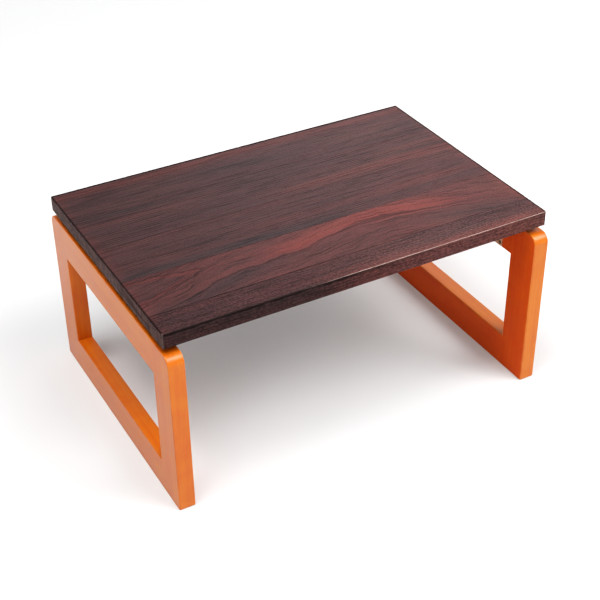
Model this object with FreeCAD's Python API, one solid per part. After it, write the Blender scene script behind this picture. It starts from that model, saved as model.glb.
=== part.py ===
import FreeCAD, Part
import os

# Folding coffee table: a dark wooden top on two loop-shaped leg frames that fold in under it.
# Millimetres. X runs along the table, Y across it from front to rear, and Z up.
# The origin is on the floor, under the middle of the top.

# Tabletop: equal boards glued edge to edge behind a front strip of half their width, with the grain along X
top_length = 600.0
top_width = 398.0
top_thickness = 23.0
table_height = 290.0
front_strip_share = 0.5
board_names = ("front_board", "middle_front_board", "middle_rear_board", "rear_board")
top_corner_radius = 2.5
top_edge_radius = 1.2

# Leg frames: closed loops flush with the ends of the top, a little deeper than the top is wide
frame_overhang = 11.0
frame_thickness = 24.0
post_width = 53.0
top_rail_height = 54.0
bottom_rail_height = 54.0
frame_top_radius = 15.0
frame_foot_radius = 3.0
frame_edge_radius = 1.5

# Battens: flat strips across the underside, which keep the top flat and stop the open frames
batten_thickness = 10.0
batten_width = 70.0
batten_end_setback = 10.0
batten_side_setback = 29.0
batten_corner_radius = 6.0
batten_edge_chamfer = 1.5

# Hinges: wide-leaf hinges, one leaf under the batten and one on the inner face of the top rail
leaf_length = 58.0
leaf_reach = 48.0
leaf_thickness = 2.0
leaf_corner_radius = 3.0
knuckle_count = 5
knuckle_diameter = 7.0
knuckle_gap = 0.3
barrel_clearance = 0.3
pin_diameter = 4.0
pin_fit = 0.05
pin_head_diameter = 5.6
pin_head_height = 1.2
hinge_post_gap = 19.0

# Countersunk wood screws
screw_diameter = 3.5
screw_head_diameter = 7.0
screw_point_length = 5.0
screw_fit = 0.05
leaf_screw_length = 16.0
leaf_screw_edge = 6.0
leaf_screw_end = 5.0
batten_screw_length = 25.0
batten_screw_end = 8.0
batten_screw_pair = 60.0

# Dowels of the corner joints
dowel_diameter = 8.0
dowel_length = 32.0
dowel_spacing = 26.0
dowel_chamfer = 1.0
dowel_fit = 0.05
dowel_end_gap = 0.5

# Levels and places that follow from the sizes above
top_end = top_length / 2
top_side = top_width / 2
top_underside = table_height - top_thickness
frame_top = top_underside - batten_thickness
frame_side = top_side + frame_overhang
frame_inner = top_end - frame_thickness
post_inner = frame_side - post_width
window_bottom = bottom_rail_height
window_top = frame_top - top_rail_height
knuckle_radius = knuckle_diameter / 2
barrel_offset = knuckle_radius + barrel_clearance
pivot_x = frame_inner - barrel_offset
pivot_z = frame_top - barrel_offset
plate_start = knuckle_radius + barrel_clearance
hinge_y = post_inner - hinge_post_gap - leaf_length / 2
board_width = top_width / (front_strip_share + len(board_names))
front_strip_width = front_strip_share * board_width
batten_outer = top_end - batten_end_setback
batten_inner = batten_outer - batten_width
batten_side = top_side - batten_side_setback

AXIS_X = FreeCAD.Vector(1, 0, 0)
AXIS_Y = FreeCAD.Vector(0, 1, 0)
AXIS_Z = FreeCAD.Vector(0, 0, 1)
ORIGIN = FreeCAD.Vector(0, 0, 0)
SWAP_X_AND_Z = FreeCAD.Vector(1, 0, 1)


def block(x0, x1, y0, y1, z0, z1):
    """A plain block between two opposite corners."""
    return Part.makeBox(x1 - x0, y1 - y0, z1 - z0, FreeCAD.Vector(x0, y0, z0))


def rounded_face(corners, radii):
    """A flat face round the corner points, each corner turned by its own radius (0 for a sharp one)."""
    edges = []
    starts = []
    ends = []
    for i, corner in enumerate(corners):
        to_last = (corners[i - 1] - corner).normalize()
        to_next = (corners[(i + 1) % len(corners)] - corner).normalize()
        radius = radii[i]
        starts.append(corner + to_last * radius)
        ends.append(corner + to_next * radius)
        if radius:
            centre = corner + (to_last + to_next) * radius
            middle = centre - (to_last + to_next).normalize() * radius
            edges.append(Part.Arc(starts[i], middle, ends[i]).toShape())
    for i, end in enumerate(ends):
        edges.append(Part.LineSegment(end, starts[(i + 1) % len(starts)]).toShape())
    return Part.Face(Part.Wire(Part.__sortEdges__(edges)))


def edges_across(solid, axis, levels):
    """The edges that lie flat at one of the given levels along an axis ("X", "Y" or "Z")."""
    found = []
    for edge in solid.Edges:
        box = edge.BoundBox
        low = getattr(box, axis + "Min")
        high = getattr(box, axis + "Max")
        if any(abs(low - level) < 1e-6 and abs(high - level) < 1e-6 for level in levels):
            found.append(edge)
    return found


def mirrored(shape):
    """The same shape at the other end of the table."""
    return shape.mirror(ORIGIN, AXIS_X)


def screw(length, fit=0.0):
    """A countersunk screw pointing up +Z, with the flat of its head at Z = 0.

    With a fit, the hole that it sits in: the same form, larger all round."""
    head = screw_head_diameter / 2 + fit
    shank = screw_diameter / 2 + fit
    cone = (screw_head_diameter - screw_diameter) / 2
    outline = [
        FreeCAD.Vector(0, 0, 0),
        FreeCAD.Vector(head, 0, 0),
        FreeCAD.Vector(shank, 0, cone),
        FreeCAD.Vector(shank, 0, length - screw_point_length),
        FreeCAD.Vector(0, 0, length + fit),
    ]
    outline.append(outline[0])
    return Part.Face(Part.makePolygon(outline)).revolve(ORIGIN, AXIS_Z, 360)


def dowel():
    """A dowel along Y about its middle, with bevelled ends."""
    half = dowel_length / 2
    solid = Part.makeCylinder(dowel_diameter / 2, dowel_length, FreeCAD.Vector(0, -half, 0), AXIS_Y)
    return solid.makeChamfer(dowel_chamfer, edges_across(solid, "Y", (-half, half)))


def dowel_bore():
    """The hole that a dowel sits in, a little wider and longer than the dowel."""
    radius = dowel_diameter / 2 + dowel_fit
    half = dowel_length / 2 + dowel_end_gap
    return Part.makeCylinder(radius, 2 * half, FreeCAD.Vector(0, -half, 0), AXIS_Y)


def leaf_screw_places():
    """Screw centres on a leaf: distance from the pin's axis, and place along the pin."""
    far = leaf_reach - leaf_screw_edge
    near = plate_start + leaf_screw_edge
    side = leaf_length / 2 - leaf_screw_end
    return [(reach, along) for reach in (near, far) for along in (-side, side)]


def leaf_screws(fit=0.0):
    """The screws of one leaf, in the leaf's own place, or their holes."""
    seat = barrel_offset - leaf_thickness
    screws = []
    for reach, along in leaf_screw_places():
        screws.append(screw(leaf_screw_length, fit).translated(FreeCAD.Vector(-reach, along, seat)))
    return screws


def leaf(first_knuckle):
    """A hinge leaf with its pin axis along Y through the origin, its plate reaching along -X and its
    back, the face that is screwed down, upwards. It has every second knuckle from the first one on."""
    half = leaf_length / 2
    back = barrel_offset
    front = back - leaf_thickness
    corners = [
        FreeCAD.Vector(-plate_start, -half, front),
        FreeCAD.Vector(-plate_start, half, front),
        FreeCAD.Vector(-leaf_reach, half, front),
        FreeCAD.Vector(-leaf_reach, -half, front),
    ]
    face = rounded_face(corners, (0, 0, leaf_corner_radius, leaf_corner_radius))
    shape = face.extrude(AXIS_Z * leaf_thickness)
    pitch = leaf_length / knuckle_count
    for i in range(first_knuckle, knuckle_count, 2):
        start = -half + i * pitch + knuckle_gap / 2
        width = pitch - knuckle_gap
        barrel = Part.makeCylinder(knuckle_radius, width, FreeCAD.Vector(0, start, 0), AXIS_Y)
        strap = block(-plate_start, 0, start, start + width, front, back)
        shape = shape.fuse([barrel, strap])
    bore_radius = pin_diameter / 2 + pin_fit
    bore = Part.makeCylinder(bore_radius, leaf_length, FreeCAD.Vector(0, -half, 0), AXIS_Y)
    return shape.cut([bore] + leaf_screws(screw_fit)).removeSplitter()


def hinge_pin():
    """The pin, along Y about its middle, with a low domed head on each end."""
    shank = pin_diameter / 2
    head = pin_head_diameter / 2
    half = leaf_length / 2
    dome = (head ** 2 + pin_head_height ** 2) / (2 * pin_head_height)
    dome_centre = half + pin_head_height - dome
    shape = Part.makeCylinder(shank, leaf_length, FreeCAD.Vector(0, -half, 0), AXIS_Y)
    for way in (-1, 1):
        ball = Part.makeSphere(dome, AXIS_Y * way * dome_centre)
        rim = Part.makeCylinder(head, pin_head_height, AXIS_Y * way * half, AXIS_Y * way)
        shape = shape.fuse(ball.common(rim))
    return shape.removeSplitter()


def placed(shape, y):
    """A hinge piece moved onto the right-hand pivot line, with its middle at the given Y."""
    return shape.translated(FreeCAD.Vector(pivot_x, y, pivot_z))


def on_rail(shape):
    """A leaf piece turned over the diagonal, from under the batten onto the inner face of the rail."""
    return shape.rotated(ORIGIN, SWAP_X_AND_Z, 180)


def batten_screws(fit=0.0):
    """The screws that hold the right-hand batten to the top, or their holes."""
    middle_x = (batten_outer + batten_inner) / 2
    outer_y = batten_side - batten_screw_end
    inner_y = batten_screw_pair / 2
    screws = []
    for y in (-outer_y, -inner_y, inner_y, outer_y):
        screws.append(screw(batten_screw_length, fit).translated(FreeCAD.Vector(middle_x, y, frame_top)))
    return screws


def table_leaf_screws(fit=0.0):
    """The screws through both right-hand table leaves into the batten and the top, or their holes."""
    return [placed(one, y) for y in (-hinge_y, hinge_y) for one in leaf_screws(fit)]


def leg_leaf_screws(fit=0.0):
    """The screws through both right-hand leg leaves into the top rail, or their holes."""
    return [placed(on_rail(one), y) for y in (-hinge_y, hinge_y) for one in leaf_screws(fit)]


def at_dowels(shape):
    """Copies of a shape at every dowel of the right-hand frame, a pair in each of its four joints."""
    middle_x = frame_inner + frame_thickness / 2
    rail_middles = (bottom_rail_height / 2, window_top + top_rail_height / 2)
    copies = []
    for y in (-post_inner, post_inner):
        for rail_middle in rail_middles:
            for z in (rail_middle - dowel_spacing / 2, rail_middle + dowel_spacing / 2):
                copies.append(shape.translated(FreeCAD.Vector(middle_x, y, z)))
    return copies


def tabletop():
    """The whole top, before it is parted into its boards."""
    corners = [
        FreeCAD.Vector(-top_end, -top_side, top_underside),
        FreeCAD.Vector(top_end, -top_side, top_underside),
        FreeCAD.Vector(top_end, top_side, top_underside),
        FreeCAD.Vector(-top_end, top_side, top_underside),
    ]
    solid = rounded_face(corners, [top_corner_radius] * 4).extrude(AXIS_Z * top_thickness)
    rims = edges_across(solid, "Z", (top_underside, table_height))
    solid = solid.makeFillet(top_edge_radius, rims)
    holes = batten_screws(screw_fit) + table_leaf_screws(screw_fit)
    return solid.cut(holes + [mirrored(hole) for hole in holes])


def batten():
    """The right-hand batten, with its lower edges bevelled and its screw holes countersunk."""
    corners = [
        FreeCAD.Vector(batten_inner, -batten_side, frame_top),
        FreeCAD.Vector(batten_outer, -batten_side, frame_top),
        FreeCAD.Vector(batten_outer, batten_side, frame_top),
        FreeCAD.Vector(batten_inner, batten_side, frame_top),
    ]
    solid = rounded_face(corners, [batten_corner_radius] * 4).extrude(AXIS_Z * batten_thickness)
    solid = solid.makeChamfer(batten_edge_chamfer, edges_across(solid, "Z", (frame_top,)))
    return solid.cut(batten_screws(screw_fit) + table_leaf_screws(screw_fit))


def leg_frame():
    """The whole right-hand loop with its edges eased, before it is parted into posts and rails."""
    corners = [
        FreeCAD.Vector(frame_inner, -frame_side, 0),
        FreeCAD.Vector(frame_inner, frame_side, 0),
        FreeCAD.Vector(frame_inner, frame_side, frame_top),
        FreeCAD.Vector(frame_inner, -frame_side, frame_top),
    ]
    radii = (frame_foot_radius, frame_foot_radius, frame_top_radius, frame_top_radius)
    solid = rounded_face(corners, radii).extrude(AXIS_X * frame_thickness)
    window = block(frame_inner, top_end, -post_inner, post_inner, window_bottom, window_top)
    solid = solid.cut(window)
    solid = solid.makeFillet(frame_edge_radius, edges_across(solid, "X", (frame_inner, top_end)))
    return solid.cut(at_dowels(dowel_bore()) + leg_leaf_screws(screw_fit))


def save(name, shapes):
    """Write one node: a single solid, or a group of like solids."""
    solids = [solid for shape in shapes for solid in shape.Solids]
    shape = solids[0] if len(solids) == 1 else Part.makeCompound(solids)
    shape.exportStep("parts/" + name + ".step")


os.makedirs("parts", exist_ok=True)

# Tabletop boards, from the front strip to the rear board
top = tabletop()
glue_lines = [-top_side, front_strip_width - top_side]
for name in board_names:
    glue_lines.append(glue_lines[-1] + board_width)
for name, start, end in zip(("front_strip",) + board_names, glue_lines, glue_lines[1:]):
    board_room = block(-top_end, top_end, start, end, top_underside, table_height)
    save(name, [top.common(board_room)])

# The pieces of the right-hand end, which the left-hand end mirrors
loop = leg_frame()
frame_front = block(frame_inner, top_end, -frame_side, -post_inner, 0, frame_top)
frame_rear = block(frame_inner, top_end, post_inner, frame_side, 0, frame_top)
frame_middle_low = block(frame_inner, top_end, -post_inner, post_inner, 0, window_bottom)
frame_middle_high = block(frame_inner, top_end, -post_inner, post_inner, window_top, frame_top)
table_leaf = leaf(first_knuckle=0)
leg_leaf = on_rail(leaf(first_knuckle=1))
pin = hinge_pin()

right_end = {
    "batten": [batten()],
    "batten_screws": batten_screws(),
    "front_table_leaf": [placed(table_leaf, -hinge_y)],
    "rear_table_leaf": [placed(table_leaf, hinge_y)],
    "table_leaf_screws": table_leaf_screws(),
    "front_hinge_pin": [placed(pin, -hinge_y)],
    "rear_hinge_pin": [placed(pin, hinge_y)],
    "front_leg_leaf": [placed(leg_leaf, -hinge_y)],
    "rear_leg_leaf": [placed(leg_leaf, hinge_y)],
    "leg_leaf_screws": leg_leaf_screws(),
    "front_post": [loop.common(frame_front)],
    "rear_post": [loop.common(frame_rear)],
    "top_rail": [loop.common(frame_middle_high)],
    "bottom_rail": [loop.common(frame_middle_low)],
    "frame_dowels": at_dowels(dowel()),
}
for name, shapes in right_end.items():
    save("right_" + name, shapes)
    save("left_" + name, [mirrored(shape) for shape in shapes])
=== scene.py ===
import math

import bmesh
import bpy
from mathutils import Matrix, Vector


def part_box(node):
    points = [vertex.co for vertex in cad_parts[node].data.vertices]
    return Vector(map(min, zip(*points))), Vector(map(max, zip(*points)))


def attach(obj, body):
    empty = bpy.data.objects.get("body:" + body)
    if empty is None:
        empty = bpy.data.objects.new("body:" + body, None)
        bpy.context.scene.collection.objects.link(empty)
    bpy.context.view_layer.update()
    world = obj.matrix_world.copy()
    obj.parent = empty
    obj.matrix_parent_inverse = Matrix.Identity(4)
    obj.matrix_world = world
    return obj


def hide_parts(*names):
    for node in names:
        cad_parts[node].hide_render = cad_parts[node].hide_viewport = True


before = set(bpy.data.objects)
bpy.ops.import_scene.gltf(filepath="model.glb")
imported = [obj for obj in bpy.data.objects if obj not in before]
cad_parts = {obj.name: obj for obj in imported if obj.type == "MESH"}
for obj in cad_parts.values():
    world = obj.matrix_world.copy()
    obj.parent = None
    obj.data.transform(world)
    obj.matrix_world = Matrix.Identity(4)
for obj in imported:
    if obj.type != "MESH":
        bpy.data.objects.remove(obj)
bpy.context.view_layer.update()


# Tabletop
# Five boards of ring-porous hardwood, glued edge to edge, their outer edges eased with a file.
# The wood is scorched, wire-brushed along the grain and varnished: the lines of the growth rings
# and the open pores are dark, and the wood between them keeps some of its red.

# How a face is worn: how rough, how fine along, across and up, and the share of its sheen that is
# left towards the left end.
even_wear = {"grit": 0.20, "grit_scale": (420.0, 800.0, 800.0), "left_sheen": 1.0}
edge_wear = {"grit": 0.40, "grit_scale": (300.0, 480.0, 480.0), "left_sheen": 0.52}
# Every board: its wear, the drift that sets its noise apart, the gloss of its varnish, how far apart its
# growth rings are and how much they lean, how red it is as a whole, and bands of more or less red: place
# across the figure, half width, from and to along the board, strength.
boards = {
    "front_strip": {
        **edge_wear,
        "drift": 3.0,
        "gloss": 0.50,
        "ring_width": 0.0046,
        "ring_lean": 0.9,
        "redness": 0.22,
        "bands": [(-0.199, 0.024, -0.10, 0.36, 0.34), (-0.180, 0.040, -0.45, 0.0, 0.04)],
    },
    "front_board": {
        **even_wear,
        "drift": 7.0,
        "gloss": 0.43,
        "redness": 0.36,
        "bands": [(0.014, 0.024, -0.15, 0.25, 0.42), (0.005, 0.009, -0.28, 0.25, 0.14),
                  (-0.010, 0.040, -0.45, -0.05, -0.15), (-0.030, 0.034, 0.08, 0.46, -0.24),
                  (-0.010, 0.026, 0.0, 0.27, 0.12)],
    },
    "middle_front_board": {
        **even_wear,
        "drift": 11.0,
        "gloss": 0.47,
        "ring_width": 0.0046,
        "ring_lean": 0.5,
        "redness": 0.24,
        "bands": [(-0.030, 0.018, -0.16, 0.34, 0.12), (-0.060, 0.016, -0.4, 0.10, -0.16)],
    },
    "middle_rear_board": {
        **even_wear,
        "drift": 19.0,
        "gloss": 0.47,
        "ring_width": 0.0050,
        "ring_lean": -0.4,
        "redness": 0.20,
        "bands": [(0.038, 0.024, -0.06, 0.42, 0.18), (0.052, 0.007, -0.05, 0.40, -0.10)],
    },
    "rear_board": {
        **even_wear,
        "drift": 23.0,
        "gloss": 0.47,
        "ring_width": 0.0048,
        "ring_lean": 0.8,
        "redness": 0.18,
        "bands": [(0.184, 0.018, -0.5, 0.40, 0.24)],
    },
}
band_fade = 0.12
# The front board's wavy line: shares of the top's length, and of the span that the line wanders across.
wavy_line = ((0.0, 0.23), (1.0, 0.33), (0.10, 0.285), (0.17, 0.365), (0.22, 0.405), (0.33, 0.435),
             (0.42, 0.450), (0.50, 0.500), (0.58, 0.540), (0.66, 0.540), (0.75, 0.490), (0.84, 0.440))
wavy_line_span = 0.2
# The point of its figure, and how fast the two limbs run away from it.
figure_point_along = -0.198
figure_point_across = -0.088
upper_limb_slope = -0.16
lower_limb_slope = 0.42
top_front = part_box("front_strip")[0].y
top_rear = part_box("rear_board")[1].y
top_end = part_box("front_board")[1].x
top_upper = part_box("front_board")[1].z
board_edge_radius = 0.0012
board_corner_radius = 0.0025
corner_reach = 0.02
corner_band = 0.003
end_face_depth = 0.0004
easing_steps = 4
corner_shares = (0.25, 0.45)
crease_angle = 40.0
grain_step_across = 0.0008
grain_step_along = 0.004
side_step = 0.0012
glued_side_step = 0.008
underside_step = 0.02
brushing_depth = 0.00022
seam_width = 0.0024
scorched_colour = (0.0285, 0.0170, 0.0185, 1.0)
red_wood_colour = (0.1650, 0.0310, 0.0230, 1.0)
tan_wood_colour = (0.1800, 0.0520, 0.0340, 1.0)
end_grain_colour = (0.0700, 0.0310, 0.0260, 1.0)
# Pale bare wood, also used for the painted highlight along the front edge and down its corners.
bare_wood_highlight_colour = (0.5200, 0.4000, 0.3700, 1.0)
# Rubbed brown wood, also used for the painted sheen near the front edge.
rubbed_wood_and_sheen_colour = (0.2400, 0.1250, 0.0950, 1.0)
burnt_colour = (0.0080, 0.0045, 0.0045, 1.0)


def add_node(tree, kind, inputs, **options):
    """Add a node, set its options, and link or set its inputs, given by name or number."""
    node = tree.nodes.new(kind)
    for name, value in options.items():
        setattr(node, name, value)
    for name, value in inputs.items():
        if isinstance(value, bpy.types.NodeSocket):
            tree.links.new(value, node.inputs[name])
        else:
            node.inputs[name].default_value = value
    return node


def sum_of(tree, operation, *values):
    """The result of one sum on numbers or sockets."""
    return add_node(tree, "ShaderNodeMath", dict(enumerate(values)), operation=operation).outputs[0]


def product(tree, *values):
    """All of the values multiplied."""
    result = values[0]
    for value in values[1:]:
        result = sum_of(tree, "MULTIPLY", result, value)
    return result


def rise(tree, value, low, high, start=0.0, end=1.0):
    """A smooth step from start, at low, to end, at high."""
    step = {"Value": value, "From Min": low, "From Max": high, "To Min": start, "To Max": end}
    return add_node(tree, "ShaderNodeMapRange", step, interpolation_type="SMOOTHSTEP").outputs[0]


def streaks(tree, place, per_metre, detail=2.0, drift=0.0):
    """Noise that is as fine along each axis as per_metre says."""
    scaled = {0: place, 1: per_metre, 2: (drift, drift, drift)}
    stretched = add_node(tree, "ShaderNodeVectorMath", scaled, operation="MULTIPLY_ADD").outputs[0]
    noise = {"Vector": stretched, "Scale": 1.0, "Detail": detail, "Roughness": 0.55}
    return add_node(tree, "ShaderNodeTexNoise", noise).outputs[0]


def blended(tree, share, first, second, way="MIX"):
    """Two colours blended by share."""
    inputs = {0: share, 6: first, 7: second}
    return add_node(tree, "ShaderNodeMix", inputs, data_type="RGBA", blend_type=way).outputs[2]


def new_finish(name):
    """A new material, its node tree, its shader, and the place on the piece that it covers."""
    material = bpy.data.materials.new(name)
    material.use_nodes = True
    tree = material.node_tree
    place = add_node(tree, "ShaderNodeTexCoord", {}).outputs["Object"]
    return material, tree, tree.nodes["Principled BSDF"], place


def emboss(tree, shader, height, strength, distance):
    """Let the light fall on a finish as if it stood out where height is high."""
    relief = {"Height": height, "Strength": strength, "Distance": distance}
    tree.links.new(add_node(tree, "ShaderNodeBump", relief).outputs[0], shader.inputs["Normal"])


def smooth(mesh, crease):
    """Shade a mesh smoothly, apart from edges that turn by more than crease degrees."""
    mesh.polygons.foreach_set("use_smooth", [True] * len(mesh.polygons))
    mesh.set_sharp_from_angle(angle=math.radians(crease))


def set_out(name, data):
    """A new object in the scene, with that mesh, light or camera."""
    piece = bpy.data.objects.new(name, data)
    bpy.context.scene.collection.objects.link(piece)
    return piece


def follow(tree, value, points):
    """A smooth line through a few points, both of their numbers from 0 to 1."""
    node = add_node(tree, "ShaderNodeFloatCurve", {"Value": value})
    curve = node.mapping.curves[0]
    for number, point in enumerate(points):
        if number < 2:
            curve.points[number].location = point
        else:
            curve.points.new(*point)
    node.mapping.update()
    return node.outputs[0]


def growth_rings(tree, place, name):
    """How far across its figure a place is, its ring line, and the red lines of a pointed figure."""
    board = boards[name]
    axes = add_node(tree, "ShaderNodeSeparateXYZ", {0: place}).outputs
    along, across, up = axes[0], axes[1], axes[2]
    wander = sum_of(tree, "SUBTRACT", streaks(tree, place, (2.4, 7.0, 7.0), 2.0, board["drift"]), 0.5)
    if name == "front_board":
        # Flat-sawn: one wavy line runs the length of the board, and two limbs meet in a point.
        ripple = streaks(tree, place, (30.0, 45.0, 45.0), 2.0, board["drift"])
        ripple = sum_of(tree, "SUBTRACT", ripple, 0.5)
        wandering = sum_of(tree, "MULTIPLY_ADD", wander, 0.006, across)
        wandering = sum_of(tree, "MULTIPLY_ADD", ripple, 0.013, wandering)
        share = sum_of(tree, "MULTIPLY_ADD", along, 0.5 / top_end, 0.5)
        line_place = sum_of(tree, "MULTIPLY_ADD", follow(tree, share, wavy_line),
                            wavy_line_span, -wavy_line_span)
        figure = sum_of(tree, "SUBTRACT", wandering, line_place)
        off_line = sum_of(tree, "ABSOLUTE", sum_of(tree, "ADD", figure, 0.002))
        main_line = product(tree, rise(tree, off_line, 0.0, 0.0026, 0.76, 0.0),
                            rise(tree, along, 0.14, 0.26, 1.0, 0.20))
        from_point = sum_of(tree, "SUBTRACT", along, figure_point_along)
        upper = sum_of(tree, "MULTIPLY_ADD", from_point, upper_limb_slope, figure_point_across)
        lower = sum_of(tree, "MULTIPLY_ADD", from_point, lower_limb_slope, figure_point_across)
        inside = sum_of(tree, "MINIMUM", sum_of(tree, "SUBTRACT", upper, wandering),
                        sum_of(tree, "SUBTRACT", wandering, lower))
        beside = sum_of(tree, "ABSOLUTE", sum_of(tree, "ADD", inside, 0.0045))
        dark_limb = product(tree, rise(tree, beside, 0.0, 0.0022, 0.65, 0.0),
                            rise(tree, along, -0.195, -0.185, 1.0, 0.0))
        line = sum_of(tree, "MAXIMUM", main_line, dark_limb)
        limb = product(tree, rise(tree, sum_of(tree, "ABSOLUTE", inside), 0.0, 0.0060, 0.12, 0.0),
                       rise(tree, along, -0.200, -0.190, 1.0, 0.0))
        limb = sum_of(tree, "ADD", limb, rise(tree, inside, 0.002, 0.008, 0.0, -0.10))
    else:
        figure = sum_of(tree, "MULTIPLY_ADD", wander, 0.010, across)
        leaning = sum_of(tree, "MULTIPLY_ADD", up, board["ring_lean"], figure)
        ring = sum_of(tree, "DIVIDE", leaning, board["ring_width"])
        count = sum_of(tree, "ADD", sum_of(tree, "FLOOR", ring), board["drift"])
        chance = add_node(tree, "ShaderNodeTexWhiteNoise", {"W": count}, noise_dimensions="1D").outputs[0]
        phase = sum_of(tree, "FRACT", ring)
        line = product(tree, rise(tree, phase, 0.50, 0.90), rise(tree, phase, 0.93, 1.0, 1.0, 0.0),
                       sum_of(tree, "MULTIPLY_ADD", chance, 0.45, 0.35))
        limb = 0.0
    breaks = streaks(tree, place, (11.0, 90.0, 90.0), 2.0, board["drift"] + 1)
    line = product(tree, line, rise(tree, breaks, 0.30, 0.60, 0.35, 1.0))
    return figure, line, limb


def open_pores(tree, place, figure, name):
    """The way of the grain, its long streaks, its short open pores and its finest ones."""
    drift = boards[name]["drift"]
    axes = add_node(tree, "ShaderNodeSeparateXYZ", {0: place}).outputs
    flow = add_node(tree, "ShaderNodeCombineXYZ", {0: axes[0], 1: figure, 2: axes[2]}).outputs[0]
    fine = streaks(tree, flow, (5.0, 430.0, 430.0), 3.0, drift)
    dashes = rise(tree, streaks(tree, flow, (15.0, 560.0, 560.0), 1.0, drift + 6), 0.52, 0.66)
    pores = rise(tree, streaks(tree, flow, (70.0, 1300.0, 1300.0), 1.0, drift), 0.56, 0.70)
    return flow, fine, dashes, pores


def scorched_wood(name):
    """The board's finish: red wood under dark rings, fine streaks, pores, wear, painted sheen and
    highlight, varnish.
    """
    board = boards[name]
    material, tree, shader, place = new_finish("scorched_" + name)
    axes = add_node(tree, "ShaderNodeSeparateXYZ", {0: place}).outputs
    along, across, up = axes[0], axes[1], axes[2]
    end_grain, edge_round, seam, corner = [
        add_node(tree, "ShaderNodeAttribute", {}, attribute_name=mark).outputs["Fac"]
        for mark in ("end_grain", "rim", "seam", "corner")]
    figure, line, limb = growth_rings(tree, place, name)
    flow, fine, dashes, pores = open_pores(tree, place, figure, name)
    patches = streaks(tree, flow, (4.0, 26.0, 26.0), 2.0, board["drift"] + 4)
    grit = streaks(tree, place, board["grit_scale"], 2.0, board["drift"] + 8)

    redness = sum_of(tree, "SUBTRACT", patches, 0.5)
    redness = sum_of(tree, "MULTIPLY_ADD", redness, 0.36, board["redness"])
    redness = sum_of(tree, "MULTIPLY_ADD", sum_of(tree, "SUBTRACT", fine, 0.5), 0.14, redness)
    redness = sum_of(tree, "ADD", redness, limb)
    for centre, half_width, begin, finish, strength in board["bands"]:
        off_centre = sum_of(tree, "ABSOLUTE", sum_of(tree, "SUBTRACT", figure, centre))
        band = product(tree, rise(tree, off_centre, 0.0, half_width, strength, 0.0),
                       rise(tree, along, begin, begin + band_fade),
                       rise(tree, along, finish - band_fade, finish, 1.0, 0.0))
        redness = sum_of(tree, "ADD", redness, band)
    redness = sum_of(tree, "ADD", redness, rise(tree, along, -0.20, 0.28, -0.05, 0.05))
    near_end = rise(tree, sum_of(tree, "ABSOLUTE", along), top_end - 0.020, top_end - 0.001)
    redness = sum_of(tree, "MULTIPLY_ADD", product(tree, near_end, patches), 0.18, redness)
    redness = sum_of(tree, "MAXIMUM", sum_of(tree, "MINIMUM", redness, 1.0), 0.0)

    tan_share = rise(tree, patches, 0.48, 0.70, 0.0, 0.6)
    colour = blended(tree, tan_share, red_wood_colour, tan_wood_colour)
    colour = blended(tree, redness, scorched_colour, colour)
    end_mottle = streaks(tree, place, (1.0, 190.0, 70.0), 2.0, board["drift"] + 9)
    end_mottle = rise(tree, end_mottle, 0.3, 0.7, 0.55, 1.5)
    end_colour = blended(tree, 1.0, end_grain_colour, end_mottle, "MULTIPLY")
    colour = blended(tree, end_grain, colour, end_colour)

    on_front = rise(tree, across, top_front + 0.0002, top_front + 0.0012, 1.0, 0.0)
    charred_front = product(tree, on_front, rise(tree, along, -0.10, 0.12, 0.42, 0.18))
    chips = streaks(tree, place, (60.0, 60.0, 60.0), 3.0, 13.0)
    chipped = sum_of(tree, "MULTIPLY_ADD", chips, 0.010, up)
    under_rim = product(tree, on_front, rise(tree, chipped, top_upper - 0.0005, top_upper + 0.0015),
                        rise(tree, along, -0.02, 0.12, 0.9, 0.25))
    rear_line = product(tree, rise(tree, across, top_rear - 0.0060, top_rear - 0.0028, 0.0, 0.88),
                        rise(tree, across, top_rear - 0.0012, top_rear, 1.0, 0.45))
    end_line = sum_of(tree, "ADD", rise(tree, along, 0.0018 - top_end, 0.0030 - top_end, 0.75, 0.0),
                      rise(tree, along, top_end - 0.0044, top_end - 0.0020, 0.0, 0.70))
    end_line = product(tree, end_line, sum_of(tree, "SUBTRACT", 1.0, end_grain))
    joint = product(tree, rise(tree, seam, 0.55, 1.0), rise(tree, across, -0.10, -0.03, 0.40, 0.10),
                    rise(tree, along, 0.0, 0.20, 1.0, 0.4))
    burnt = sum_of(tree, "MAXIMUM", sum_of(tree, "MAXIMUM", charred_front, under_rim), joint)
    burnt = sum_of(tree, "MAXIMUM", burnt, sum_of(tree, "MAXIMUM", rear_line, end_line))
    burnt = sum_of(tree, "MAXIMUM", burnt, product(tree, edge_round, 0.75))
    open_grain = product(tree, sum_of(tree, "MULTIPLY_ADD", line, -0.62, 1.0),
                         sum_of(tree, "MULTIPLY_ADD", dashes, -0.46, 1.0),
                         sum_of(tree, "MULTIPLY_ADD", pores, -0.30, 1.0))
    shade = product(tree, open_grain, rise(tree, fine, 0.25, 0.75, 0.86, 1.14),
                    rise(tree, grit, 0.30, 0.70, 1.0 - board["grit"], 1.0 + board["grit"]))
    colour = blended(tree, 1.0, colour, shade, "MULTIPLY")
    colour = blended(tree, burnt, colour, burnt_colour)

    # Lighter brown scuffs near the front edge, right of the middle: partly wear, partly a painted sheen.
    scuffs = rise(tree, streaks(tree, place, (420.0, 800.0, 800.0), 2.0, 31.0), 0.46, 0.72)
    worn_side_and_sheen = product(tree, rise(tree, across, top_front, top_front + 0.041, 0.50, 0.0),
                        rise(tree, along, -0.12, 0.06),
                        rise(tree, up, top_upper - 0.005, top_upper - 0.002, 0.25, 1.0))
    colour = blended(tree, product(tree, scuffs, worn_side_and_sheen), colour, rubbed_wood_and_sheen_colour)
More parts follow.
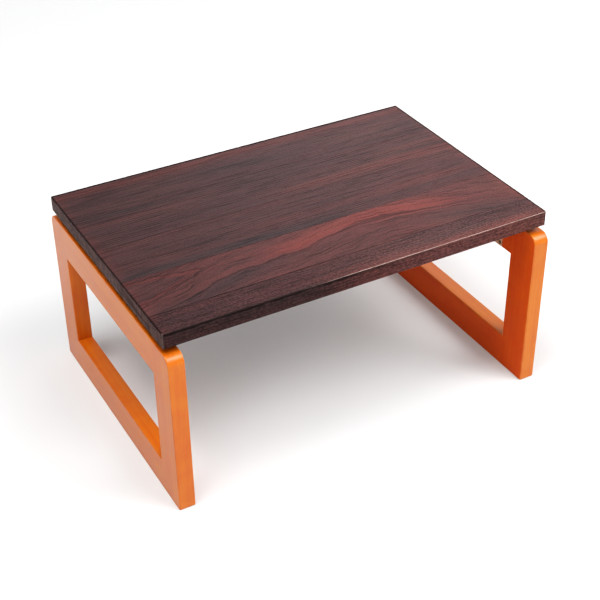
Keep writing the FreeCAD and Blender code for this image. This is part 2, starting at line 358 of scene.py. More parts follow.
    # Pale line along the eased front edge and down its corners: rubbed bare wood and a painted highlight.
    rubbed = rise(tree, streaks(tree, place, (120.0, 120.0, 120.0), 2.0, 5.0), 0.30, 0.60, 0.55, 1.0)
    rubbed = product(tree, edge_round, edge_round, edge_round, rubbed,
                     rise(tree, along, -0.12, 0.02, 0.05, 0.85),
                     rise(tree, across, top_front + 0.003, top_front + 0.007, 1.0, 0.0))
    rubbed = sum_of(tree, "MAXIMUM", rubbed, product(tree, corner, 0.14))
    colour = blended(tree, rubbed, colour, bare_wood_highlight_colour)
    tree.links.new(colour, shader.inputs["Base Color"])

    rough = sum_of(tree, "MULTIPLY_ADD", fine, 0.16, 0.36)
    rough = sum_of(tree, "MULTIPLY_ADD", end_grain, 0.20, rough)
    rough = sum_of(tree, "MULTIPLY_ADD", burnt, 0.40, rough)
    tree.links.new(sum_of(tree, "MULTIPLY_ADD", line, 0.10, rough), shader.inputs["Roughness"])
    sheen = product(tree, sum_of(tree, "MULTIPLY_ADD", open_grain, 0.75, 0.25),
                    rise(tree, grit, 0.35, 0.65, 1.0 - 1.5 * board["grit"], 1.0),
                    rise(tree, along, -0.15, 0.20, board["left_sheen"], 1.0),
                    sum_of(tree, "MULTIPLY_ADD", burnt, -0.80, 1.0),
                    sum_of(tree, "MULTIPLY_ADD", end_grain, -0.45, 1.0))
    tree.links.new(sheen, shader.inputs["Specular Tint"])
    height = sum_of(tree, "MULTIPLY_ADD", grit, 2.5 * board["grit"], fine)
    height = sum_of(tree, "MULTIPLY_ADD", pores, -0.6, height)
    emboss(tree, shader, height, 0.5, 0.0003)
    shader.inputs["Specular IOR Level"].default_value = board["gloss"]
    return material


def board_outline(low, high, eased_front, eased_rear):
    """Points round a board's section, front bottom first, each with the way that brushing wears it."""
    radius = board_edge_radius
    inset_front = radius if eased_front else 0.0
    inset_rear = radius if eased_rear else 0.0
    still = Vector((0, 0))
    quarter = math.pi / 2
    points = []

    def run(start, end, pace, wear):
        count = max(1, round((Vector(end) - Vector(start)).length / pace))
        for step in range(count):
            at = Vector(start).lerp(Vector(end), step / count)
            points.append((at.x, at.y, wear, 0.0))

    def corner(centre, turn, wears):
        for step in range(easing_steps):
            angle = quarter * step / easing_steps
            way = Vector((math.cos(turn + angle), math.sin(turn + angle)))
            at = Vector(centre) + radius * way
            points.append((at.x, at.y, -way if wears else still, math.sin(2 * angle)))

    run((low.y + inset_front, low.z), (high.y - inset_rear, low.z), underside_step, still)
    if eased_rear:
        corner((high.y - radius, low.z + radius), -quarter, False)
    run((high.y, low.z + inset_rear), (high.y, high.z - inset_rear),
        side_step if eased_rear else glued_side_step, Vector((-1, 0)) if eased_rear else still)
    if eased_rear:
        corner((high.y - radius, high.z - radius), 0.0, True)
    run((high.y - inset_rear, high.z), (low.y + inset_front, high.z), grain_step_across, Vector((0, -1)))
    if eased_front:
        corner((low.y + radius, high.z - radius), quarter, True)
    run((low.y, high.z - inset_front), (low.y, low.z + inset_front),
        side_step if eased_front else glued_side_step, Vector((1, 0)) if eased_front else still)
    if eased_front:
        corner((low.y + radius, low.z + radius), 2 * quarter, False)
    return points


def board_stations(low, high):
    """Places along a board for its rings of points, each with how far the end's easing has gone."""
    radius = board_edge_radius
    half = (high.x - low.x) / 2
    count = round(2 * (half - board_corner_radius) / grain_step_along)
    middle = [-(half - board_corner_radius) * (1 - 2 * step / count) for step in range(count + 1)]
    easing = [(half - board_corner_radius * (1 - share), 0.0) for share in corner_shares]
    angles = [math.pi / 2 * step / easing_steps for step in range(easing_steps + 1)]
    easing += [(half - radius + radius * math.sin(angle), radius - radius * math.cos(angle))
               for angle in angles]
    return [(-x, drop) for x, drop in reversed(easing)] + [(x, 0.0) for x in middle] + easing


def brushed_board(name):
    """A board before it is brushed, marked with the way it wears, its end grain, edges and seams."""
    low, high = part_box(name)
    eased_front = name == "front_strip"
    eased_rear = name == "rear_board"
    outline = board_outline(low, high, eased_front, eased_rear)
    half = (high.x - low.x) / 2
    middle_up = (low.z + high.z) / 2
    points = []
    wear = []
    end_grain = []
    rim = []
    corner = []
    seam = []
    for x, drop in board_stations(low, high):
        over = max(0.0, abs(x) - (half - board_corner_radius))
        pulled = board_corner_radius - math.sqrt(max(0.0, board_corner_radius ** 2 - over ** 2))
        for y, z, way, round_share in outline:
            if eased_front and y < low.y + corner_reach:
                y += pulled * (1 - (y - low.y) / corner_reach)
            if eased_rear and y > high.y - corner_reach:
                y -= pulled * (1 - (high.y - y) / corner_reach)
            share_up = (z - middle_up) / (high.z - middle_up)
            points.append((x, y, z - drop * share_up))
            wear.append((0.0, way.x, way.y))
            end_grain.append(1.0 if abs(x) > half - end_face_depth else 0.0)
            into_easing = min(1.0, max(0.0, (abs(x) - half) / board_edge_radius + 1))
            end_share = math.sin(2 * math.asin(into_easing))
            rim.append(max(round_share, end_share) if z > middle_up else 0.0)
            turned = math.asin(min(1.0, over / board_corner_radius))
            corner.append(math.sin(2 * turned) if eased_front and y < low.y + corner_band else 0.0)
            to_front = 1.0 if eased_front else y - low.y
            to_rear = 1.0 if eased_rear else high.y - y
            seam.append(max(0.0, 1 - min(to_front, to_rear) / seam_width))
    size = len(outline)
    rings = len(points) // size
    faces = [tuple(reversed(range(size))), tuple(range((rings - 1) * size, rings * size))]
    for ring in range(rings - 1):
        for step in range(size):
            after = (step + 1) % size
            faces.append((ring * size + step, ring * size + after,
                          (ring + 1) * size + after, (ring + 1) * size + step))
    mesh = bpy.data.meshes.new(name + "_brushed")
    mesh.from_pydata(points, [], faces)
    mesh.attributes.new("wear", "FLOAT_VECTOR", "POINT").data.foreach_set(
        "vector", [number for way in wear for number in way])
    for mark, values in (("end_grain", end_grain), ("rim", rim), ("corner", corner), ("seam", seam)):
        mesh.attributes.new(mark, "FLOAT", "POINT").data.foreach_set("value", values)
    smooth(mesh, crease_angle)
    return set_out(name + "_brushed", mesh)


def new_tree(name, inputs, output):
    """A geometry tree with inputs of those names and kinds, and the sockets that give them."""
    tree = bpy.data.node_groups.new(name, "GeometryNodeTree")
    for label, kind in inputs:
        tree.interface.new_socket(label, in_out="INPUT", socket_type="NodeSocket" + kind)
    tree.interface.new_socket(output, in_out="OUTPUT", socket_type="NodeSocketGeometry")
    return tree, add_node(tree, "NodeGroupInput", {}).outputs


def end_tree(tree, geometry, finish):
    """Make what a geometry tree has made real, and give it its finish."""
    real = add_node(tree, "GeometryNodeRealizeInstances", {"Geometry": geometry}).outputs[0]
    done = add_node(tree, "GeometryNodeSetMaterial", {"Geometry": real, "Material": finish}).outputs[0]
    add_node(tree, "NodeGroupOutput", {0: done})


def brushing_tree(name):
    """Wears the wood between the ring lines down by the depth that it is given."""
    inputs = (("Board", "Geometry"), ("Depth", "Float"), ("Finish", "Material"))
    tree, given = new_tree("brushing_" + name, inputs, "Board")
    place = add_node(tree, "GeometryNodeInputPosition", {}).outputs[0]
    figure, line = growth_rings(tree, place, name)[:2]
    fine, dashes = open_pores(tree, place, figure, name)[1:3]
    soft = sum_of(tree, "MULTIPLY_ADD", fine, 0.7, 0.1)
    soft = sum_of(tree, "MULTIPLY_ADD", dashes, 0.4, soft)
    soft = sum_of(tree, "MULTIPLY", soft, sum_of(tree, "SUBTRACT", 1.0, line))
    seam = add_node(tree, "GeometryNodeInputNamedAttribute", {"Name": "seam"}).outputs["Attribute"]
    flush = sum_of(tree, "MULTIPLY", sum_of(tree, "SUBTRACT", 0.6, soft), seam)
    depth = sum_of(tree, "MULTIPLY", sum_of(tree, "ADD", soft, flush), given["Depth"])
    way = add_node(tree, "GeometryNodeInputNamedAttribute", {"Name": "wear"},
                   data_type="FLOAT_VECTOR").outputs["Attribute"]
    offset = add_node(tree, "ShaderNodeVectorMath", {0: way, "Scale": depth}, operation="SCALE").outputs[0]
    worn = add_node(tree, "GeometryNodeSetPosition", {"Geometry": given["Board"], "Offset": offset})
    end_tree(tree, worn.outputs[0], given["Finish"])
    return tree


def grown(piece, tree, values):
    """Run a geometry tree on a piece with the values for its named inputs, and keep the plain mesh."""
    modifier = piece.modifiers.new(tree.name, "NODES")
    modifier.node_group = tree
    for item in tree.interface.items_tree:
        if item.in_out == "INPUT" and item.name in values:
            modifier[item.identifier] = values[item.name]
    evaluated = piece.evaluated_get(bpy.context.evaluated_depsgraph_get())
    mesh = bpy.data.meshes.new_from_object(evaluated)
    piece.modifiers.clear()
    piece.data = mesh


for board_name in boards:
    board_piece = brushed_board(board_name)
    grown(board_piece, brushing_tree(board_name),
          {"Depth": brushing_depth, "Finish": scorched_wood(board_name)})
    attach(board_piece, "table")
    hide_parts(board_name)


# Battens
# A flat bar of hardwood across the underside above each leg frame, stained dark like the top.
# It is screwed up into the boards, keeps them flat, and is what the open frame butts against.

batten_dark = (0.0300, 0.0150, 0.0120, 1.0)
batten_brown = (0.0850, 0.0330, 0.0220, 1.0)


def dress(node, finish):
    """Give a solid's own mesh its finish."""
    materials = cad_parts[node].data.materials
    materials.clear()
    materials.append(finish)


batten_finish, tree, shader, place = new_finish("stained_batten")
grain = streaks(tree, place, (230.0, 4.0, 230.0), 3.0, 2.0)
slow = streaks(tree, place, (30.0, 3.0, 30.0), 2.0, 6.0)
pores = rise(tree, streaks(tree, place, (1100.0, 60.0, 1100.0), 1.0, 9.0), 0.58, 0.74)
share = sum_of(tree, "MULTIPLY_ADD", grain, 0.55, sum_of(tree, "MULTIPLY_ADD", slow, 0.6, -0.2))
colour = blended(tree, share, batten_dark, batten_brown)
colour = blended(tree, sum_of(tree, "MULTIPLY", pores, 0.5), colour, batten_dark)
tree.links.new(colour, shader.inputs["Base Color"])
tree.links.new(sum_of(tree, "MULTIPLY_ADD", grain, 0.2, 0.42), shader.inputs["Roughness"])
emboss(tree, shader, sum_of(tree, "MULTIPLY_ADD", pores, -0.6, grain), 0.4, 0.0003)
for side in ("left", "right"):
    dress(side + "_batten", batten_finish)


# Leg frames
# Two posts and two rails of straight-grained hardwood, dowelled into a loop with a round-cornered top
# and sanded flush with its edges eased. The loop is stained orange and lacquered to a gloss. Its inner
# faces, which the top shades, get a copy of that finish with their shade painted in: a redder stain, little
# gloss.

frame_top_radius = 0.015
frame_foot_radius = 0.003
frame_edge_radius = 0.0015
top_corner_steps = 14
foot_corner_steps = 6
edge_steps = 4
far_below = -1.0
far_above = 1.0
same_plane = 1e-6
same_face = 1e-5
orange_light = (0.612, 0.200, 0.0060, 1.0)
orange_deep = (0.455, 0.082, 0.0010, 1.0)
orange_pore = (0.300, 0.040, 0.0015, 1.0)
# The inner faces' stain: redder, to paint in the shade that the top casts on them.
shaded_inner_light = (0.660, 0.135, 0.0050, 1.0)
shaded_inner_deep = (0.500, 0.052, 0.0009, 1.0)
lacquer_gloss = 0.48
# Little gloss on the inner faces, part of their painted shade.
shaded_inner_gloss = 0.08


def orange_lacquer(name, along, gloss, light, deep):
    """Two shades of stain under a clear finish, with the grain along the axis of that number."""
    material, tree, shader, place = new_finish(name)

    def scale(lengthways, crossways):
        return tuple(lengthways if axis == along else crossways for axis in range(3))

    grain = streaks(tree, place, scale(5.0, 260.0), 3.0, 4.0)
    broad = streaks(tree, place, scale(4.0, 45.0), 2.0, 8.0)
    mottle = streaks(tree, place, (35.0, 35.0, 35.0), 2.0, 12.0)
    pores = rise(tree, streaks(tree, place, scale(90.0, 1500.0), 0.0, 15.0), 0.50, 0.74)
    share = sum_of(tree, "MULTIPLY_ADD", grain, 0.50, sum_of(tree, "MULTIPLY_ADD", broad, 0.6, -0.25))
    share = sum_of(tree, "MULTIPLY_ADD", sum_of(tree, "SUBTRACT", mottle, 0.5), 0.4, share)
    colour = blended(tree, share, deep, light)
    colour = blended(tree, sum_of(tree, "MULTIPLY", pores, 0.12), colour, orange_pore)
    edge = add_node(tree, "ShaderNodeAttribute", {}, attribute_name="eased").outputs["Fac"]
    rubbed = sum_of(tree, "MULTIPLY", edge, rise(tree, mottle, 0.45, 0.70, 0.05, 0.45))
    colour = blended(tree, rubbed, colour, light)
    tree.links.new(colour, shader.inputs["Base Color"])
    tree.links.new(sum_of(tree, "MULTIPLY_ADD", mottle, 0.08, 0.28), shader.inputs["Roughness"])
    emboss(tree, shader, grain, 0.10, 0.0002)
    shader.inputs["Specular IOR Level"].default_value = gloss
    return material


def corner_points(centre, radius, start, steps):
    """Points of a quarter round, from the angle start on."""
    angles = [start + math.pi / 2 * step / steps for step in range(steps + 1)]
    return [(centre[0] + radius * math.cos(angle), centre[1] + radius * math.sin(angle))
            for angle in angles]


def frame_loop(low, high, window_low, window_high):
    """The whole loop with its eased edges, before it is parted into posts and rails."""
    foot = frame_foot_radius
    top = frame_top_radius
    outer = []
    splits = []
    for number, (y, z, radius, steps) in enumerate((
            (high.y - foot, low.z + foot, foot, foot_corner_steps),
            (high.y - top, high.z - top, top, top_corner_steps),
            (low.y + top, high.z - top, top, top_corner_steps),
            (low.y + foot, low.z + foot, foot, foot_corner_steps))):
        splits.append(len(outer) + steps // 2)
        outer += corner_points((y, z), radius, (number - 1) * math.pi / 2, steps)
    inner = [(window_high.y, window_low.z), (window_high.y, window_high.z),
             (window_low.y, window_high.z), (window_low.y, window_low.z)]
    mesh = bmesh.new()
    sheets = []
    for x in (low.x, high.x):
        sheets.append(([mesh.verts.new((x, y, z)) for y, z in outer],
                       [mesh.verts.new((x, y, z)) for y, z in inner]))
    for ring, hole in sheets:
        for number in range(4):
            first = splits[number]
            last = splits[(number + 1) % 4]
            span = ring[first:last + 1] if first < last else ring[first:] + ring[:last + 1]
            mesh.faces.new(span + [hole[(number + 1) % 4], hole[number]])
    rim_edges = []
    for near, far in zip(sheets[0], sheets[1]):
        for number in range(len(near)):
            after = (number + 1) % len(near)
            mesh.faces.new((near[number], near[after], far[after], far[number]))
            rim_edges.append(mesh.edges.get((near[number], near[after])))
            rim_edges.append(mesh.edges.get((far[number], far[after])))
    bmesh.ops.recalc_face_normals(mesh, faces=mesh.faces)
    eased = bmesh.ops.bevel(mesh, geom=rim_edges, offset=frame_edge_radius, offset_type="OFFSET",
                            segments=edge_steps, profile=0.5, affect="EDGES", clamp_overlap=False)
    layer = mesh.verts.layers.float.new("eased")
    new_faces = set(eased["faces"])
    for vert in mesh.verts:
        vert[layer] = 1.0 if all(face in new_faces for face in vert.link_faces) else 0.0
    return mesh


def parted(loop, name, y_from, y_to, z_from, z_to):
    """The piece of the loop between two planes across it, closed where it is cut."""
    part = loop.copy()
    for y, way in ((y_from, -1), (y_to, 1)):
        if y is None:
            continue
        bmesh.ops.bisect_plane(part, geom=part.verts[:] + part.edges[:] + part.faces[:], dist=same_plane,
                               plane_co=(0, y, 0), plane_no=(0, way, 0), clear_outer=True)
        if y_from is not None and y_to is not None:
            flat = [face for face in part.faces
                    if all(abs(vert.co.y - y) < same_plane for vert in face.verts)]
            bmesh.ops.delete(part, geom=flat, context="FACES")
    outside = [vert for vert in part.verts
               if not z_from - same_plane < vert.co.z < z_to + same_plane]
    bmesh.ops.delete(part, geom=outside, context="VERTS")
    open_edges = [edge for edge in part.edges if len(edge.link_faces) == 1]
    bmesh.ops.holes_fill(part, edges=open_edges, sides=0)
    bmesh.ops.recalc_face_normals(part, faces=part.faces)
    mesh = bpy.data.meshes.new(name)
    part.to_mesh(mesh)
    part.free()
    smooth(mesh, crease_angle)
    piece = set_out(name, mesh)
    weighted = piece.modifiers.new("flat_faces_stay_flat", "WEIGHTED_NORMAL")
    weighted.keep_sharp = True
    evaluated = piece.evaluated_get(bpy.context.evaluated_depsgraph_get())
    piece.data = bpy.data.meshes.new_from_object(evaluated)
    piece.modifiers.clear()
    return piece


upright_orange = orange_lacquer("orange_upright", 2, lacquer_gloss, orange_light, orange_deep)
level_orange = orange_lacquer("orange_level", 1, lacquer_gloss, orange_light, orange_deep)
# Copies of the finish with the shade of the inner faces painted in.
upright_painted_shade = orange_lacquer("orange_upright_painted_shade", 2, shaded_inner_gloss, shaded_inner_light, shaded_inner_deep)
level_painted_shade = orange_lacquer("orange_level_painted_shade", 1, shaded_inner_gloss, shaded_inner_light, shaded_inner_deep)
for side in ("left", "right"):
    front_low, front_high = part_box(side + "_front_post")
    rear_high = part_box(side + "_rear_post")[1]
    top_low, top_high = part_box(side + "_top_rail")
    foot_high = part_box(side + "_bottom_rail")[1]
    inner_face = min(abs(front_low.x), abs(front_high.x))
    whole_loop = frame_loop(front_low, rear_high, Vector((0, top_low.y, foot_high.z)),
                            Vector((0, top_high.y, top_low.z)))
    half_way_up = (foot_high.z + top_low.z) / 2
    upright = (upright_orange, upright_painted_shade)
    level = (level_orange, level_painted_shade)
    parts = (
        ("front_post", None, top_low.y, far_below, far_above, upright),
        ("rear_post", top_high.y, None, far_below, far_above, upright),
        ("top_rail", top_low.y, top_high.y, half_way_up, far_above, level),
        ("bottom_rail", top_low.y, top_high.y, far_below, half_way_up, level),
    )
    for part_name, y_from, y_to, z_from, z_to, finishes in parts:
        node = side + "_" + part_name
        frame_piece = parted(whole_loop, node + "_lacquered", y_from, y_to, z_from, z_to)
        frame_piece.data.materials.clear()
        for finish in finishes:
            frame_piece.data.materials.append(finish)
        # Faces on the inner side of the loop take the copy with the painted shade.
        for face in frame_piece.data.polygons:
            face.material_index = 1 if abs(abs(face.center.x) - inner_face) < same_face else 0
        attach(frame_piece, side + "_leg")
        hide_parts(node)
    whole_loop.free()


# Dowels
# Plain beech pegs, two in each corner of a leg frame, glued into post and rail.
# They are wholly inside the wood, so only their bare, pale grain is given.

beech_pale = (0.560, 0.380, 0.220, 1.0)
beech_fleck = (0.400, 0.240, 0.130, 1.0)

dowel_finish, tree, shader, place = new_finish("bare_beech")
grain = streaks(tree, place, (700.0, 25.0, 700.0), 3.0, 3.0)
colour = blended(tree, rise(tree, grain, 0.35, 0.70), beech_pale, beech_fleck)
tree.links.new(colour, shader.inputs["Base Color"])
tree.links.new(sum_of(tree, "MULTIPLY_ADD", grain, 0.2, 0.55), shader.inputs["Roughness"])
emboss(tree, shader, grain, 0.3, 0.0002)
for side in ("left", "right"):
    dress(side + "_frame_dowels", dowel_finish)


# Hinges
# Two wide-leaf hinges join each frame to the top: stamped brass leaves with rolled knuckles and
# countersunk holes, and a brass pin with rounded heads through the knuckles.

brass = (0.720, 0.460, 0.320, 1.0)
tarnished_brass = (0.500, 0.290, 0.180, 1.0)
pin_bright = (0.600, 0.470, 0.330, 1.0)
pin_dull = (0.360, 0.260, 0.170, 1.0)


def brushed_metal(name, bright, dull, lengthways):
    """Metal with fine brush marks along the axis of that number, and duller patches."""
    material, tree, shader, place = new_finish(name)
    marks_scale = tuple(90.0 if axis == lengthways else 2600.0 for axis in range(3))
    marks = streaks(tree, place, marks_scale, 2.0, 2.0)
    patches = streaks(tree, place, (110.0, 110.0, 110.0), 3.0, 5.0)
    share = sum_of(tree, "MULTIPLY_ADD", marks, 0.3, rise(tree, patches, 0.40, 0.75, 0.0, 0.35))
    tree.links.new(blended(tree, share, bright, dull), shader.inputs["Base Color"])
    rough = sum_of(tree, "MULTIPLY_ADD", patches, 0.25, 0.28)
    tree.links.new(sum_of(tree, "MULTIPLY_ADD", marks, 0.10, rough), shader.inputs["Roughness"])
    emboss(tree, shader, marks, 0.15, 0.0001)
    shader.inputs["Metallic"].default_value = 1.0
    return material


leaf_finish = brushed_metal("brass_plate", brass, tarnished_brass, 1)
pin_finish = brushed_metal("pin_brass", pin_bright, pin_dull, 1)
for side in ("left", "right"):
    for hinge in ("_front", "_rear"):
        dress(side + hinge + "_table_leaf", leaf_finish)
        dress(side + hinge + "_leg_leaf", leaf_finish)
        dress(side + hinge + "_hinge_pin", pin_finish)


# Screws
# Countersunk brass wood screws with a cross recess: eight through the two table leaves and eight
# through the two leg leaves of each end, and four through each batten. Driven in from below or from
# inside, their heads lie flush in the countersinks.

screw_head = 0.00694
screw_shank = 0.0035
screw_point = 0.005
screw_pitch = 0.0016
screw_sides = 20
screw_rings = 90
screw_crease_angle = 35.0
leaf_screw_length = 0.016
leaf_screw_edge = 0.006
leaf_screw_end = 0.005
leaf_screw_spacing = 0.0322
leaf_thickness = 0.002
batten_screw_length = 0.025
batten_screw_end = 0.008
batten_screw_pair = 0.060
screw_spin_seed = 5
# The part without a thread as a share of the length, the ridge as a share of the pitch, and the thread's
# root, the plain shank and the tip as shares of the shank.
plain_length = 0.36
ridge_width = 0.34
thread_root = 0.70
plain_shank = 0.86
blunt_tip = 0.06
# The cross recess in shares of the head's width, and how fast it narrows.
recess_length = 0.56
recess_width = 0.13
recess_height = 0.44
recess_taper = 2.2
# A dark brown, darker than the leaves: partly tarnish, partly the shade of the screws' recesses painted in.
screw_bright = (0.300, 0.160, 0.080, 1.0)
screw_dull = (0.150, 0.075, 0.035, 1.0)


def screw_tree():
    """Screws on the points that it is given: turned from a rod, threaded, and each spun by chance."""
    inputs = (("Places", "Geometry"), ("Way", "Vector"), ("Length", "Float"), ("Head", "Float"),
              ("Shank", "Float"), ("Point", "Float"), ("Pitch", "Float"), ("Seed", "Int"),
              ("Finish", "Material"))
    tree, given = new_tree("countersunk_screws", inputs, "Screws")
    rod = {"Vertices": screw_sides, "Side Segments": screw_rings, "Radius": 1.0, "Depth": 1.0}
    rod = add_node(tree, "GeometryNodeMeshCylinder", rod).outputs["Mesh"]
    axes = add_node(tree, "ShaderNodeSeparateXYZ",
                    {0: add_node(tree, "GeometryNodeInputPosition", {}).outputs[0]}).outputs
    depth = sum_of(tree, "MULTIPLY", sum_of(tree, "ADD", axes[2], 0.5), given["Length"])
    head = sum_of(tree, "SUBTRACT", sum_of(tree, "MULTIPLY", given["Head"], 0.5), depth)
    thick = sum_of(tree, "MULTIPLY", given["Shank"], 0.5)
    turn = sum_of(tree, "DIVIDE", sum_of(tree, "ARCTAN2", axes[1], axes[0]), 2 * math.pi)
    winding = sum_of(tree, "SUBTRACT", sum_of(tree, "DIVIDE", depth, given["Pitch"]), turn)
    winding = sum_of(tree, "FRACT", winding)
    off_ridge = sum_of(tree, "ABSOLUTE", sum_of(tree, "SUBTRACT", winding, 0.5))
    threaded = sum_of(tree, "MULTIPLY", thick, rise(tree, off_ridge, 0.0, ridge_width, 1.0, thread_root))
    plain = sum_of(tree, "MULTIPLY", thick, plain_shank)
    plain_end = sum_of(tree, "MULTIPLY", given["Length"], plain_length)
    past_plain = sum_of(tree, "GREATER_THAN", depth, plain_end)
    shank = add_node(tree, "ShaderNodeMix", {0: past_plain, 2: plain, 3: threaded},
                     data_type="FLOAT").outputs[0]
    to_tip = sum_of(tree, "DIVIDE", sum_of(tree, "SUBTRACT", given["Length"], depth), given["Point"])
    to_tip = sum_of(tree, "MAXIMUM", sum_of(tree, "MINIMUM", to_tip, 1.0), blunt_tip)
    radius = sum_of(tree, "MAXIMUM", head, sum_of(tree, "MULTIPLY", shank, to_tip))
    turned = add_node(tree, "ShaderNodeCombineXYZ", {0: sum_of(tree, "MULTIPLY", axes[0], radius),
                                                     1: sum_of(tree, "MULTIPLY", axes[1], radius),
                                                     2: depth}).outputs[0]
    screw = add_node(tree, "GeometryNodeSetPosition", {"Geometry": rod, "Position": turned}).outputs[0]
    cutters = []
    for wide, narrow in ((recess_length, recess_width), (recess_width, recess_length)):
        size = add_node(tree, "ShaderNodeCombineXYZ",
                        {0: sum_of(tree, "MULTIPLY", given["Head"], wide),
                         1: sum_of(tree, "MULTIPLY", given["Head"], narrow),
                         2: sum_of(tree, "MULTIPLY", given["Head"], recess_height)})
        cutters.append(add_node(tree, "GeometryNodeMeshCube", {"Size": size.outputs[0]}).outputs["Mesh"])
    recess = add_node(tree, "GeometryNodeMeshBoolean", {"Mesh 1": screw}, operation="DIFFERENCE")
    for cutter in cutters:
        tapering = sum_of(tree, "MAXIMUM", sum_of(tree, "DIVIDE", axes[2], given["Head"]), 0.0)
        tapering = sum_of(tree, "MULTIPLY_ADD", tapering, -recess_taper, 1.0)
        narrowed = add_node(tree, "ShaderNodeCombineXYZ", {0: sum_of(tree, "MULTIPLY", axes[0], tapering),
                                                           1: sum_of(tree, "MULTIPLY", axes[1], tapering),
                                                           2: axes[2]}).outputs[0]
        tapered = add_node(tree, "GeometryNodeSetPosition", {"Geometry": cutter, "Position": narrowed})
        tree.links.new(tapered.outputs[0], recess.inputs["Mesh 2"])
    aligned = add_node(tree, "FunctionNodeAlignRotationToVector", {"Vector": given["Way"]},
                       axis="Z").outputs[0]
    driven = add_node(tree, "GeometryNodeInstanceOnPoints",
                      {"Points": given["Places"], "Instance": recess.outputs["Mesh"], "Rotation": aligned})
    spin = add_node(tree, "FunctionNodeRandomValue", {2: 0.0, 3: 2 * math.pi, "Seed": given["Seed"]},
                    data_type="FLOAT").outputs[1]
    spin = add_node(tree, "ShaderNodeCombineXYZ", {2: spin}).outputs[0]
    spin = add_node(tree, "FunctionNodeEulerToRotation", {"Euler": spin}).outputs[0]
    spun = add_node(tree, "GeometryNodeRotateInstances", {"Instances": driven.outputs[0], "Rotation": spin})
    end_tree(tree, spun.outputs[0], given["Finish"])
    return tree


screw_finish = brushed_metal("brass_screw", screw_bright, screw_dull, 0)
screws = screw_tree()
for side, out in (("left", -1), ("right", 1)):
    batten_low, batten_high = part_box(side + "_batten")
    table_low, table_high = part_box(side + "_front_table_leaf")
    leg_low, leg_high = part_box(side + "_front_leg_leaf")
    batten_middle = (batten_low.x + batten_high.x) / 2
    batten_row = batten_high.y - batten_screw_end
    batten_rows = (-batten_row, -batten_screw_pair / 2, batten_screw_pair / 2, batten_row)
    outer_row = table_low.y + leaf_screw_end
    inner_row = table_high.y - leaf_screw_end
    leaf_rows = (outer_row, inner_row, -inner_row, -outer_row)
    first_column = min(abs(table_low.x), abs(table_high.x)) + leaf_screw_edge
    first_level = leg_low.z + leaf_screw_edge
    table_leaf_face = table_high.z - leaf_thickness
    leg_leaf_face = max(abs(leg_low.x), abs(leg_high.x)) - leaf_thickness
    groups = (
        ("_batten_screws", "table", batten_screw_length, (0, 0, 1),
         [(batten_middle, y, batten_low.z) for y in batten_rows]),
        ("_table_leaf_screws", "table", leaf_screw_length, (0, 0, 1),
         [(out * x, y, table_leaf_face)
          for x in (first_column, first_column + leaf_screw_spacing) for y in leaf_rows]),
        ("_leg_leaf_screws", side + "_leg", leaf_screw_length, (out, 0, 0),
         [(out * leg_leaf_face, y, z)
          for z in (first_level, first_level + leaf_screw_spacing) for y in leaf_rows]),
    )
    for group, body, length, way, places in groups:
        screw_mesh = bpy.data.meshes.new(side + group + "_driven")
        screw_mesh.from_pydata(places, [], [])
        screw_piece = set_out(side + group + "_driven", screw_mesh)
        grown(screw_piece, screws, {"Way": way, "Length": length, "Head": screw_head, "Shank": screw_shank,
                                    "Point": screw_point, "Pitch": screw_pitch, "Seed": screw_spin_seed,
                                    "Finish": screw_finish})
        smooth(screw_piece.data, screw_crease_angle)
        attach(screw_piece, body)
        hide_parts(side + group)


# Floor
# A wide, pale, matt studio floor that the table stands on. It glows, though it is no lamp: a little near
# the table, which lightens the table's shadow on it, and more from a few steps off to its edge. Painted
# light.

floor_radius = 12.0
floor_sides = 96
floor_colour = (0.62, 0.62, 0.62, 1.0)
floor_roughness = 0.8
floor_shine = 0.2
painted_glow_colour = (1.0, 1.0, 1.0, 1.0)
painted_glow_from = 1.4
painted_glow_to = 4.5
painted_glow_near = 0.12
painted_glow_far = 0.72

floor_mesh = bmesh.new()
bmesh.ops.create_circle(floor_mesh, cap_ends=True, radius=floor_radius, segments=floor_sides)
floor_data = bpy.data.meshes.new("floor")
floor_mesh.to_mesh(floor_data)
floor_mesh.free()
floor = set_out("floor", floor_data)
floor_finish, tree, shader, place = new_finish("pale_floor")
far = add_node(tree, "ShaderNodeVectorMath", {0: place}, operation="LENGTH").outputs["Value"]
glow = rise(tree, far, painted_glow_from, painted_glow_to, painted_glow_near, painted_glow_far)
tree.links.new(glow, shader.inputs["Emission Strength"])
shader.inputs["Emission Color"].default_value = painted_glow_colour
shader.inputs["Base Color"].default_value = floor_colour
shader.inputs["Roughness"].default_value = floor_roughness
shader.inputs["Specular IOR Level"].default_value = floor_shine
floor_data.materials.append(floor_finish)


# Light
# A dim white room, brighter low down, and five soft boxes: two on the front right that shine in the
# rounded corners, one low on the front left that reaches under the top, one over the floor on the left
# that the left frame mirrors, and a weak cool one behind whose sheen lies along the right of the top.

room_colour = (1.0, 1.0, 1.0, 1.0)
room_strength = 0.30
horizon_strength = 0.90
horizon_low = 0.04
horizon_high = 0.24
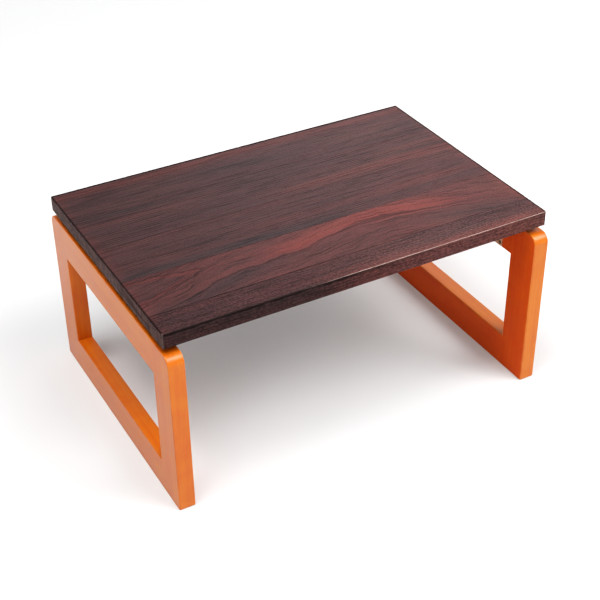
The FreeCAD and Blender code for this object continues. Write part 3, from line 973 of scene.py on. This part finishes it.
# Each soft box: where it hangs, what it points at, its width, its power in watts and its tint.
soft_boxes = (
    ("front_box", (1.5, -2.2, 4.0), (0.0, 0.0, 0.2), 2.4, 150.0, (1.0, 1.0, 1.0)),
    ("right_box", (2.5, -2.0, 3.0), (0.1, -0.1, 0.2), 2.2, 74.0, (1.0, 1.0, 1.0)),
    ("low_box", (-2.0, -2.6, 2.3), (0.1, -0.1, 0.15), 1.6, 26.0, (1.0, 1.0, 1.0)),
    ("left_box", (-1.2, -0.3, 4.0), (-0.3, 0.0, 0.1), 1.6, 128.0, (1.0, 1.0, 1.0)),
    ("back_box", (1.9, 2.6, 1.7), (0.15, 0.05, 0.28), 1.8, 14.0, (0.90, 0.94, 1.0)),
)

room = bpy.data.worlds.new("soft_room")
room.use_nodes = True
tree = room.node_tree
height = add_node(tree, "ShaderNodeSeparateXYZ",
                  {0: add_node(tree, "ShaderNodeTexCoord", {}).outputs["Generated"]}).outputs[2]
glow = rise(tree, height, horizon_low, horizon_high, horizon_strength, room_strength)
tree.links.new(glow, tree.nodes["Background"].inputs["Strength"])
tree.nodes["Background"].inputs["Color"].default_value = room_colour
bpy.context.scene.world = room
for box_name, at, towards, width, watts, tint in soft_boxes:
    box = bpy.data.lights.new(box_name, "AREA")
    box.shape = "SQUARE"
    box.size = width
    box.energy = watts
    box.color = tint
    hung = set_out(box_name, box)
    hung.location = at
    hung.rotation_euler = (Vector(towards) - Vector(at)).to_track_quat("-Z", "Y").to_euler()


# Film
# A plain display with a slight print contrast: the deep shades a little deeper, the lighter ones a
# little lighter, with black and white as they are.

film_points = ((0.05, 0.034), (0.12, 0.098), (0.30, 0.300), (0.60, 0.640))

film = bpy.context.scene.view_settings
film.view_transform = "Standard"
film.use_curve_mapping = True
for shade_in, shade_out in film_points:
    film.curve_mapping.curves[3].points.new(shade_in, shade_out)
film.curve_mapping.update()


# Camera
# It looks down on the table from the front left through a short telephoto lens, with no shift and no
# blur. Its place and its two ways are those of the photograph, fitted to the edges of top and frames.

camera_place = Vector((-0.762894, -1.395727, 1.216462))
camera_ahead = Vector((0.397364, 0.721320, -0.567274))
camera_right = Vector((0.872699, -0.488167, -0.009423))
camera_lens = 76.175
camera_sensor = 36.0
camera_nearest = 0.05
camera_farthest = 60.0

camera_data = bpy.data.cameras.new("camera")
camera_data.lens = camera_lens
camera_data.sensor_width = camera_sensor
camera_data.clip_start = camera_nearest
camera_data.clip_end = camera_farthest
camera = set_out("camera", camera_data)
back = -camera_ahead.normalized()
up = back.cross(camera_right).normalized()
right = up.cross(back)
camera.matrix_world = Matrix.Translation(camera_place) @ Matrix((right, up, back)).transposed().to_4x4()
bpy.context.scene.camera = camera
